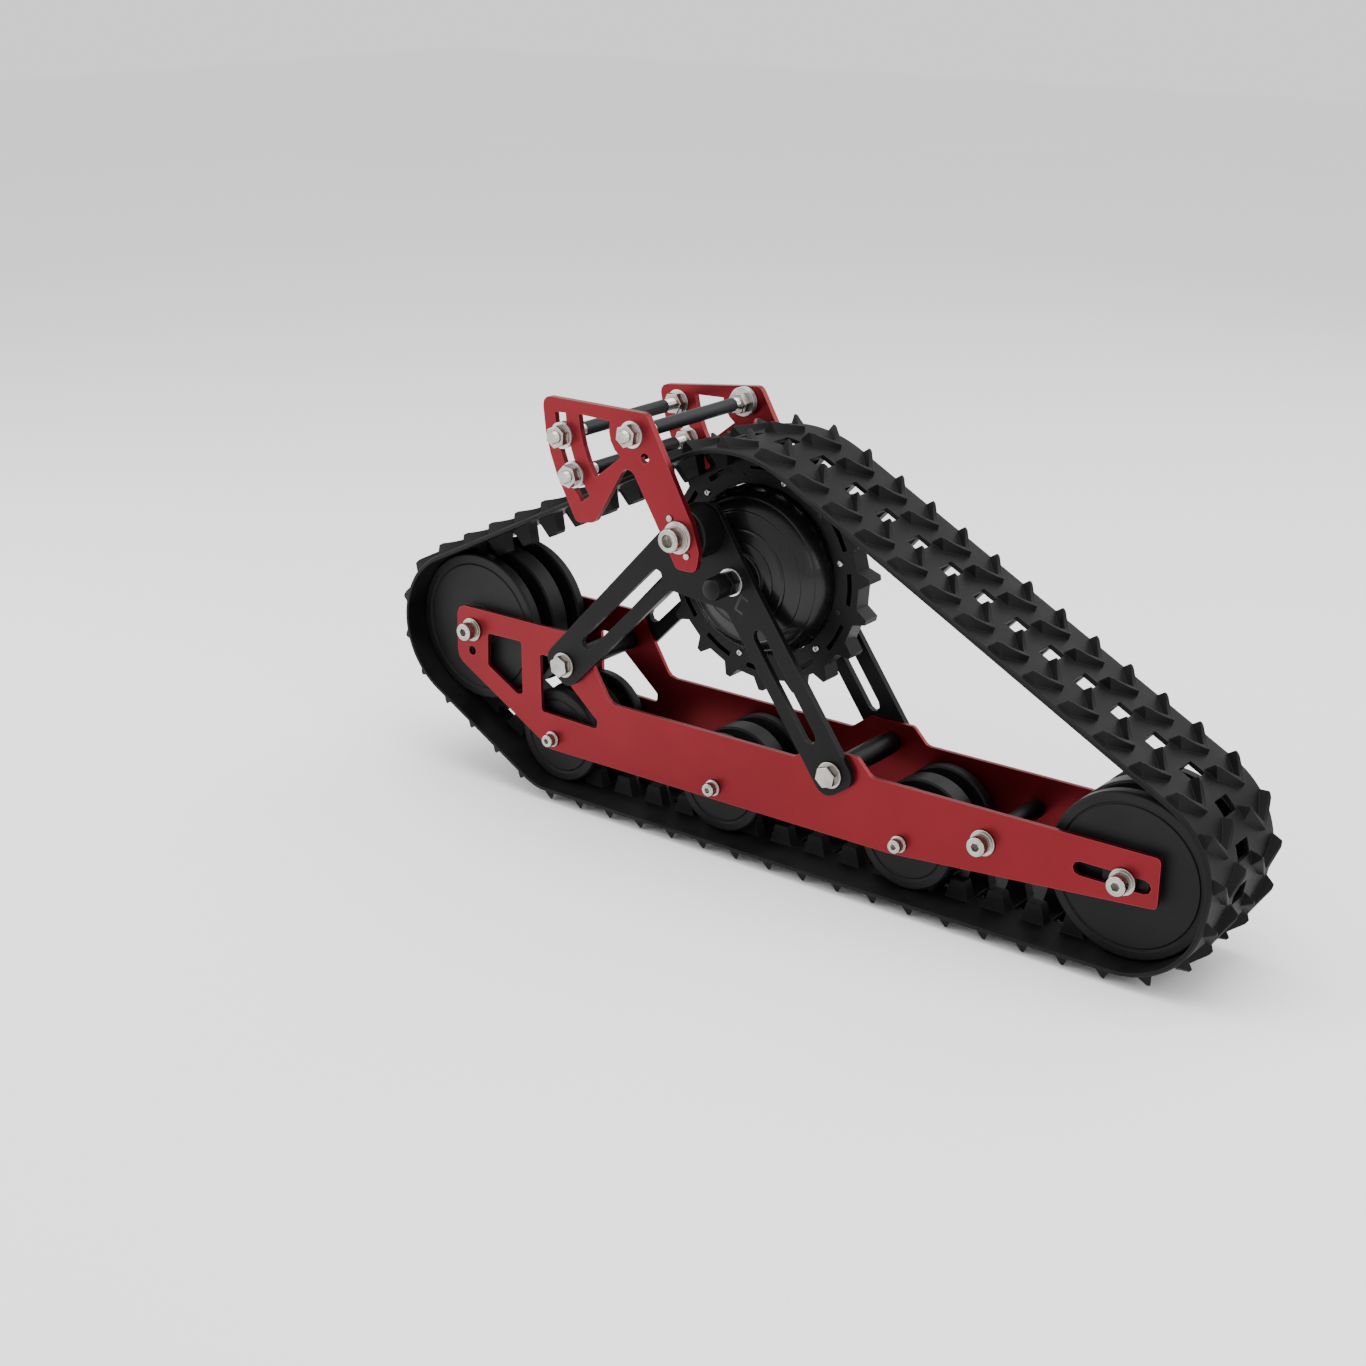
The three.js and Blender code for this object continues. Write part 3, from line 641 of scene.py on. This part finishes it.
SCREW_WASHER = 2 * MM
SHANK_SHARE = 0.62
RECESS_SHARE = 0.5
SOCKET_SHARE = 0.84
SOCKET_RING = 0.2 * MM
POINTS_A_FLAT = 8


def socket_screw(node_name, body, head, head_length, washer, side):
    """Cap screw with a hex socket, over its washer, outside the plate."""
    centre = centre_of(node_name)
    top = abs(outer_face(node_name, side))
    seat = top - head_length
    washer_from = seat - SCREW_WASHER
    shank = head * SHANK_SHARE
    recess = head * RECESS_SHARE
    recess_floor = top - head_length * RECESS_SHARE
    rim = 0.8 * MM
    profile = [
        (0, washer_from - 4 * MM), (shank, washer_from - 4 * MM), (shank, washer_from),
        (washer, washer_from), (washer, seat), (head, seat), (head, top - rim),
        (head - rim, top), (recess, top), (recess, recess_floor), (0, recess_floor),
    ]
    screw = turned_piece(f"{node_name}_look", profile, centre, side, STEEL, body, 0.35 * MM, 48)
    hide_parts(node_name)
    hex_points = []
    round_points = []
    count = HEX_SIDES * POINTS_A_FLAT
    for k in range(count):
        angle = 2 * math.pi * k / count
        sector = (angle % (math.pi / 3)) - math.pi / 6
        flat = recess * SOCKET_SHARE / math.cos(sector)
        hex_points.append(on_circle(centre, flat, angle))
        round_points.append(on_circle(centre, recess + SOCKET_RING, angle))
    lip = (top - 0.1 * MM) * side
    depth = (recess_floor + 0.2 * MM) * side
    levels = [(round_points, lip), (hex_points, lip), (hex_points, depth), (round_points, depth)]
    bm = bmesh.new()
    loops = [[bm.verts.new((x, y, z)) for x, z in points] for points, y in levels]
    for a, b in zip(loops, loops[1:] + loops[:1]):
        for k in range(count):
            n = (k + 1) % count
            bm.faces.new((a[k], a[n], b[n], b[k]))
    collar = finish_mesh(bm, f"{node_name}_socket", STEEL, smooth=False)
    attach(collar, body)


def hex_screw(node_name, body, head, head_length, washer, side, turn):
    """Hex bolt with a chamfered head over a round washer."""
    centre = centre_of(node_name)
    top = abs(outer_face(node_name, side))
    seat = top - head_length
    bolt = hex_piece(f"{node_name}_head", centre, head, seat * side, top * side, turn, STEEL)
    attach(bolt, body)
    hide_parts(node_name)
    shank = head * 0.55
    ring = [
        (0, seat - 6 * MM), (shank, seat - 6 * MM), (shank, seat - SCREW_WASHER),
        (washer, seat - SCREW_WASHER), (washer, seat), (0, seat),
    ]
    made = turned_piece(f"{node_name}_washer", ring, centre, side, STEEL, body, 0.3 * MM, 48)


# Head radius, head length and washer radius.
LARGE = (9 * MM, 12 * MM, 12 * MM)
SMALL = (6.5 * MM, 8 * MM, 8 * MM)
HEX = (10.8 * MM, 7.5 * MM, 12.5 * MM)
SCREW_SETS = [
    ("front_idler_axle", "frame", LARGE), ("rear_idler_axle", "tensioner", LARGE),
    ("rear_cross_tube", "frame", LARGE),
]
SCREW_SETS += [(f"road_axle_{k}", "frame", SMALL) for k in (1, 2, 3)]
for bar, body, sizes in SCREW_SETS:
    for label, side in SIDES:
        socket_screw(f"{bar}_screw_{label}", body, *sizes, side)
for bar in ("middle_cross_tube", "front_cross_tube"):
    for label, side in SIDES:
        hex_screw(f"{bar}_screw_{label}", "frame", *HEX, side, random.uniform(0, 1))


def round_bar(name, body):
    """Axle or tube between the plates, with a chamfer at each end."""
    low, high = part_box(name)
    radius = (high.z - low.z) / 2
    chamfer = 0.8 * MM
    profile = [
        (0, low.y), (radius - chamfer, low.y), (radius, low.y + chamfer),
        (radius, high.y - chamfer), (radius - chamfer, high.y), (0, high.y),
    ]
    piece = turned_piece(f"{name}_look", profile, (low + high) / 2, 1, BLACK, body, 0.2 * MM, 48)
    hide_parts(name)


for bar, body, _ in SCREW_SETS:
    round_bar(bar, body)
for bar in ("middle_cross_tube", "front_cross_tube"):
    round_bar(bar, "frame")


# ---------------------------------------------------------------- hub motor

# Radius and distance from the mid-plane of each turned step, in mm, rim first.
RING_STEPS = [
    (80, 14), (79, 16.5), (73, 27), (72, 27.6), (71.2, 27.2), (70.4, 28.2), (63, 35.2),
    (62, 35.8), (61, 35.2), (60, 36), (47, 39.4), (46, 38.9), (45, 39.2), (44, 40.2), (35, 41.8),
    (34, 41.2), (33, 41.9), (26, 42.9), (25, 43.2), (24.6, 46), (24, 46.5), (13, 46.5), (12, 45.6),
    (7.4, 45.6),
]


def hub_shell():
    """Stepped dome with turned rings, the same on both sides."""
    far_half = [(r * MM, y * MM) for r, y in RING_STEPS]
    near_half = [(r, -y) for r, y in reversed(far_half)]
    profile = near_half + far_half
    shell = turned_piece("hub_shell_look", profile, HUB, 1, MOTOR, "drive", 0.3 * MM, 144)
    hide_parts("hub_motor_shell")


def button_screw(name, x, z, y_face, side, radius, material, body):
    """Low domed screw with a socket, on a face at y_face from the mid-plane."""
    height = radius * 0.55
    socket = radius * 0.45
    profile = [
        (0, y_face - 0.5 * MM), (radius, y_face - 0.5 * MM), (radius, y_face + height * 0.4),
        (radius * 0.8, y_face + height * 0.85), (socket, y_face + height),
        (socket, y_face + height * 0.3), (0, y_face + height * 0.3),
    ]
    piece = turned_piece(name, profile, Vector((x, 0, z)), side, material, body, 0.1 * MM, 24)


SPROCKET_FACE = 9.5 * MM
SPROCKET_SCREWS = 12
SPROCKET_SCREW_CIRCLE = 88.5 * MM
FIRST_SCREW = math.radians(14.7)
SILVER_SCREW = 3.2 * MM
DARK_SCREW = 2.4 * MM
HUB_FACE = 46.5 * MM
HUB_SCREWS = 6
HUB_SCREW_CIRCLE = 18.5 * MM
HUB_SCREW = 1.9 * MM


def hub_screws(label, side):
    """Silver and dark screws by turns round the sprocket, and a small ring on the hub cover."""
    for k in range(SPROCKET_SCREWS):
        x, z = on_circle(HUB, SPROCKET_SCREW_CIRCLE, FIRST_SCREW + k * math.pi / 6)
        silver = k % 2 == 0
        size = SILVER_SCREW if silver else DARK_SCREW
        kind = STEEL if silver else SCREW_BLACK_AND_PAINTED_SHADE
        button_screw(f"sprocket_screw_{label}_{k}", x, z, SPROCKET_FACE, side, size, kind, "drive")
    for k in range(HUB_SCREWS):
        x, z = on_circle(HUB, HUB_SCREW_CIRCLE, k * math.pi / 3)
        button_screw(f"hub_screw_{label}_{k}", x, z, HUB_FACE, side, HUB_SCREW, STEEL, "drive")


hub_shell()
for label, side in SIDES:
    hub_screws(label, side)


def sprocket_web():
    """Ring inside the sprocket that closes its curved slots from behind."""
    inner = 91 * MM
    outer = 102 * MM
    half = 3 * MM
    profile = [(inner, -half), (outer, -half), (outer, half), (inner, half)]
    web = turned_piece("sprocket_web", profile, HUB, 1, BLACK, "drive", 0.2 * MM, 96)


def strut_recess_painted_shade(label, side):
    """Thin dark C of painted shade on the strut's face below the motor axle, just proud, standing in
    for the shade of a recess that is not cut.
    """
    face = abs(outer_face(f"v_strut_{label}", side)) + 0.05 * MM
    middle = Vector((HUB.x + 11 * MM, 0, HUB.z - 19.4 * MM))
    thickness = 2.4 * MM
    half_wide = 5 * MM
    half_tall = 8.5 * MM
    corners = [
        (half_wide, half_tall), (-half_wide, half_tall), (-half_wide, -half_tall),
        (half_wide, -half_tall), (half_wide, -half_tall + thickness),
        (-half_wide + thickness, -half_tall + thickness),
        (-half_wide + thickness, half_tall - thickness), (half_wide, half_tall - thickness),
    ]
    lean = math.radians(-24)
    bm = bmesh.new()
    levels = []
    for y in (face, face - MM):
        ring = []
        for dx, dz in corners:
            x = middle.x + dx * math.cos(lean) - dz * math.sin(lean)
            z = middle.z + dx * math.sin(lean) + dz * math.cos(lean)
            ring.append(bm.verts.new((x, y * side, z)))
        levels.append(ring)
    for k in range(len(corners)):
        n = (k + 1) % len(corners)
        bm.faces.new((levels[0][k], levels[0][n], levels[1][n], levels[1][k]))
    for ring in levels:
        bm.faces.new(ring)
    # The dark C is painted shade: it stands for the shadow inside the strut's recess.
    recess = finish_mesh(bm, f"strut_recess_painted_shade_{label}", SCREW_BLACK_AND_PAINTED_SHADE, smooth=False)
    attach(recess, "frame")


sprocket_web()
for label, side in SIDES:
    strut_recess_painted_shade(label, side)


AXLE_WASHER = (13 * MM, 56.2 * MM, 58.6 * MM)
AXLE_HEX = (12 * MM, 58.7 * MM, 69 * MM)
AXLE_HEX_TURN = 0.3


def axle_end(label, side):
    """Washer, hex nut and round cap on the motor axle."""
    washer = solid_disc(*AXLE_WASHER)
    disc = turned_piece(f"axle_washer_{label}", washer, HUB, side, ZINC, "frame", 0.3 * MM, 48)
    radius, seat, top = AXLE_HEX
    nut = hex_piece(f"axle_hex_{label}", HUB, radius, seat * side, top * side, AXLE_HEX_TURN, BLACK)
    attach(nut, "frame")
    cap_profile = [
        (0, top), (9.2 * MM, top), (9.2 * MM, 70.5 * MM), (10.6 * MM, 71.5 * MM),
        (10.6 * MM, 84 * MM), (9.4 * MM, 87.2 * MM), (6 * MM, 88.8 * MM), (0, 89 * MM),
    ]
    cap = turned_piece(f"axle_cap_{label}", cap_profile, HUB, side, BLACK, "frame", 0.3 * MM, 48)
    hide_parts(f"axle_nut_{label}")


for label, side in SIDES:
    axle_end(label, side)


# ---------------------------------------------------------------- bike mount


PIN_CIRCLE = 18.5 * MM


def pivot(label, side):
    """Boss, thick washer, large socket screw and two pins at the mount's pivot."""
    node = f"pivot_screw_{label}"
    centre = centre_of(node)
    face = abs(outer_face(f"mount_plate_{label}", side))
    top = abs(outer_face(node, side))
    washer = [
        (0, face), (15 * MM, face), (15 * MM, face + 2.6 * MM), (13.4 * MM, face + 2.8 * MM),
        (13.4 * MM, face + 5.2 * MM), (0, face + 5.2 * MM),
    ]
    disc = turned_piece(f"pivot_washer_{label}", washer, centre, side, STEEL, "bike_mount", 0.4 * MM)
    head = [
        (0, face + 5 * MM), (11 * MM, face + 5 * MM), (11 * MM, top - 1.2 * MM), (9.8 * MM, top),
        (6.2 * MM, top), (6.2 * MM, top - 7 * MM), (0, top - 7 * MM),
    ]
    screw = turned_piece(f"{node}_look", head, centre, side, STEEL, "bike_mount", 0.4 * MM, 64)
    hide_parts(node)
    boss_low, boss_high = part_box(f"pivot_boss_{label}")
    inner = min(abs(boss_low.y), abs(boss_high.y))
    outer = max(abs(boss_low.y), abs(boss_high.y))
    boss = [
        (0, inner), (12.2 * MM, inner), (12.2 * MM, inner + 6.4 * MM),
        (24 * MM, inner + 6.4 * MM), (25 * MM, inner + 7.4 * MM), (25 * MM, outer - MM),
        (24 * MM, outer), (0, outer),
    ]
    name = f"pivot_boss_{label}_look"
    boss_piece = turned_piece(name, boss, centre, side, BLACK, "bike_mount", 0.3 * MM)
    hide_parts(f"pivot_boss_{label}")
    top_rod = centre_of("tie_rod_1")
    heading = math.atan2(top_rod.z - centre.z, top_rod.x - centre.x)
    pin = [
        (0, 83 * MM), (3.1 * MM, 83 * MM), (3.1 * MM, 90.6 * MM), (2.5 * MM, 91.2 * MM),
        (0, 91.2 * MM),
    ]
    for k, sign in enumerate((1, -1)):
        x, z = on_circle(centre, sign * PIN_CIRCLE, heading)
        name = f"pivot_pin_{label}_{k}"
        piece = turned_piece(name, pin, Vector((x, 0, z)), side, STEEL, "bike_mount", 0.2 * MM)


SLEEVE_REACH = 60.8 * MM
SLEEVE_RADIUS = 6.6 * MM
THREAD_FROM = 60 * MM
THREAD_PITCH = 1.25 * MM
THREAD_ROOT = 5.6 * MM
THREAD_CREST = 6 * MM
NUT_RADIUS = 11 * MM
# Distances from the mid-plane and lengths, in mm.
NUT_LENGTH = 9
INNER_NUT = 73.2
INNER_NUT_BEHIND_STACK = 66.6
OUTER_NUT = 91.8
STACK_FROM = 75.8
STACK_PITCH = 2.3
ROD_WASHERS = (("outer", 89.3, 2.4), ("inner", 82.4, 0.7))


def rod_thread(name, label, side, centre, end):
    """Threaded end of a tie rod, as a stack of cones."""
    thread = [(0, THREAD_FROM)]
    y = THREAD_FROM
    while y < end - 1.2 * MM:
        thread += [(THREAD_ROOT, y), (THREAD_CREST, y + 0.6 * MM)]
        y += THREAD_PITCH
    thread += [(5 * MM, end), (0, end)]
    name = f"{name}_thread_{label}"
    rod = turned_piece(name, thread, centre, side, STEEL, "bike_mount", 0.05 * MM, 32)


def washer_stack(name, centre, side):
    """Three washers side by side inside the far plate."""
    for k in range(3):
        first = (STACK_FROM + STACK_PITCH * k) * MM
        ring = solid_disc(14 * MM, first, first + 2.1 * MM)
        disc = turned_piece(
            f"{name}_stack_{k}", ring, centre, side, ZINC, "bike_mount", 0.3 * MM, 48
        )


def tie_rod(name):
    """Threaded rod with a black sleeve, washers, an inner nut and an outer hex nut a side."""
    centre = centre_of(name)
    low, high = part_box(name)
    sleeve = solid_disc(SLEEVE_RADIUS, -SLEEVE_REACH, SLEEVE_REACH)
    tube = turned_piece(f"{name}_sleeve", sleeve, centre, 1, SLEEVE, "bike_mount", 0.4 * MM, 48)
    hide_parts(name)
    for label, side in SIDES:
        rod_thread(name, label, side, centre, abs(low.y if side < 0 else high.y))
        stacked = name == "tie_rod_1" and label == "far"
        if stacked:
            washer_stack(name, centre, side)
        inner_nut = INNER_NUT_BEHIND_STACK if stacked else INNER_NUT
        for part, start in (("inner", inner_nut), ("outer", OUTER_NUT)):
            turn = random.uniform(0, 1)
            first = start * MM * side
            last = (start + NUT_LENGTH) * MM * side
            nut_name = f"{name}_{part}_nut_{label}"
            nut = hex_piece(nut_name, centre, NUT_RADIUS, first, last, turn, STEEL)
            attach(nut, "bike_mount")
        for part, start, thickness in ROD_WASHERS:
            ring = solid_disc(12.4 * MM, start * MM, (start + thickness) * MM)
            made = turned_piece(
                f"{name}_{part}_washer_{label}", ring, centre, side, ZINC, "bike_mount", 0.2 * MM, 48
            )


for label, side in SIDES:
    pivot(label, side)
for k in (1, 2, 3):
    tie_rod(f"tie_rod_{k}")


# ---------------------------------------------------------------- stage, light, camera


def floor():
    bm = bmesh.new()
    bmesh.ops.create_grid(bm, x_segments=2, y_segments=2, size=8)
    material, tree, shader = new_material("studio_floor")
    clouds = texture(tree, "ShaderNodeTexNoise", 1.5, Detail=2.0)
    tone = ramp(tree, clouds.outputs["Fac"], grey(0.95), grey(0.96))
    tree.links.new(tone.outputs["Color"], shader.inputs["Base Color"])
    shader.inputs["Roughness"].default_value = 0.75
    finish_mesh(bm, "studio_floor", material, smooth=False)


def area_light(name, place, target, size, power):
    data = bpy.data.lights.new(name, "AREA")
    data.shape = "RECTANGLE"
    data.size, data.size_y = size
    data.energy = power
    light = bpy.data.objects.new(name, data)
    light.location = place
    light.rotation_euler = (Vector(target) - Vector(place)).to_track_quat("-Z", "Y").to_euler()
    bpy.context.scene.collection.objects.link(light)


LIT_POINT = (0.0, 0.0, 0.2)
# Name, place, size and power in watts.
SOFTBOXES = (
    ("top_softbox", (0.0, -0.2, 2.2), (2.4, 1.6), 52),
    ("left_softbox", (-2.0, -1.2, 1.0), (1.4, 1.6), 32),
    ("right_softbox", (2.0, -0.6, 1.1), (1.2, 1.4), 16),
    ("back_softbox", (0.6, 2.2, 1.4), (2.0, 1.0), 16),
)


def studio():
    world = bpy.data.worlds.new("studio")
    bpy.context.scene.world = world
    world.use_nodes = True
    background = world.node_tree.nodes["Background"]
    background.inputs["Color"].default_value = (1.0, 1.0, 1.0, 1.0)
    background.inputs["Strength"].default_value = 1.15
    for name, place, size, power in SOFTBOXES:
        area_light(name, place, LIT_POINT, size, power)


CAMERA_PLACE = (1.0452, -1.5322, 0.8540)
# Azimuth, elevation and roll, in degrees.
CAMERA_ANGLES = (37.575, 20.34, 0.206)


def camera():
    data = bpy.data.cameras.new("camera")
    data.lens = 56.13
    data.sensor_width = 36.0
    data.clip_start = 0.05
    data.clip_end = 60.0
    seen = bpy.data.objects.new("camera", data)
    azimuth, elevation, roll = (math.radians(degrees) for degrees in CAMERA_ANGLES)
    back = Vector((
        math.sin(azimuth) * math.cos(elevation),
        -math.cos(azimuth) * math.cos(elevation),
        math.sin(elevation),
    ))
    turn = (-back).to_track_quat("-Z", "Y").to_matrix().to_4x4()
    placed = Matrix.Translation(CAMERA_PLACE)
    seen.matrix_world = placed @ turn @ Matrix.Rotation(roll, 4, "Z")
    bpy.context.scene.collection.objects.link(seen)
    bpy.context.scene.camera = seen


floor()
studio()
camera()
